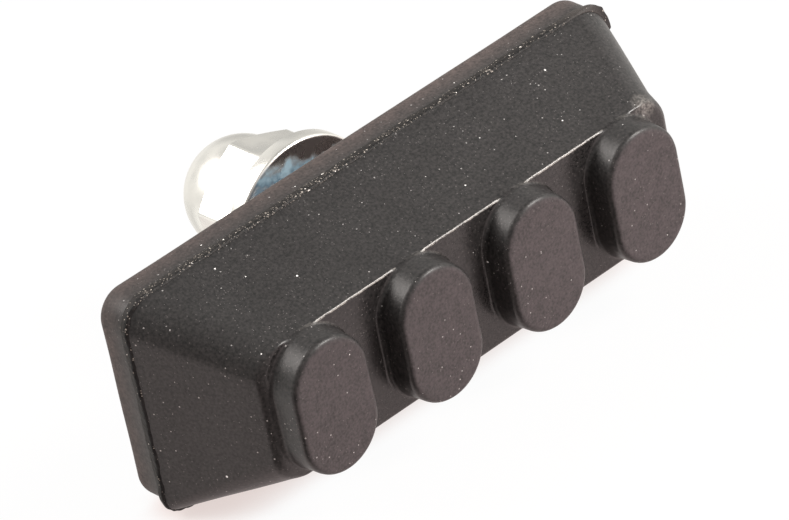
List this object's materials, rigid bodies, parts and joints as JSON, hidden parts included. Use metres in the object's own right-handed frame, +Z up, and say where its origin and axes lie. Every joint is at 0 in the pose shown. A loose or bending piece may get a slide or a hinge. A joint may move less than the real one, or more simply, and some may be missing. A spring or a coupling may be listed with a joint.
{
  "type": "bicycle rim brake pad",
  "caption": "Moulded rubber rim brake pad with a flanged tapered block, obround friction studs, and a threaded steel stud with washer and dome nut for fixing to a brake arm.",
  "frame": {"origin": "on the steel stud's axis, where it leaves the rubber block's flat back", "axes": "+X along the block, +Y along the stud from the block towards the nut, +Z up across the block"},
  "size_m": [0.0495, 0.0323, 0.0187],
  "materials": {
    "black_rubber": "satin moulded rubber with dust",
    "zinc_steel": "bright zinc plate"
  },
  "bodies": {
    "root": {"rubber_block": "black_rubber", "threaded_stud": "zinc_steel", "washer": "zinc_steel", "dome_nut": "zinc_steel"}
  },
  "joints": []
}
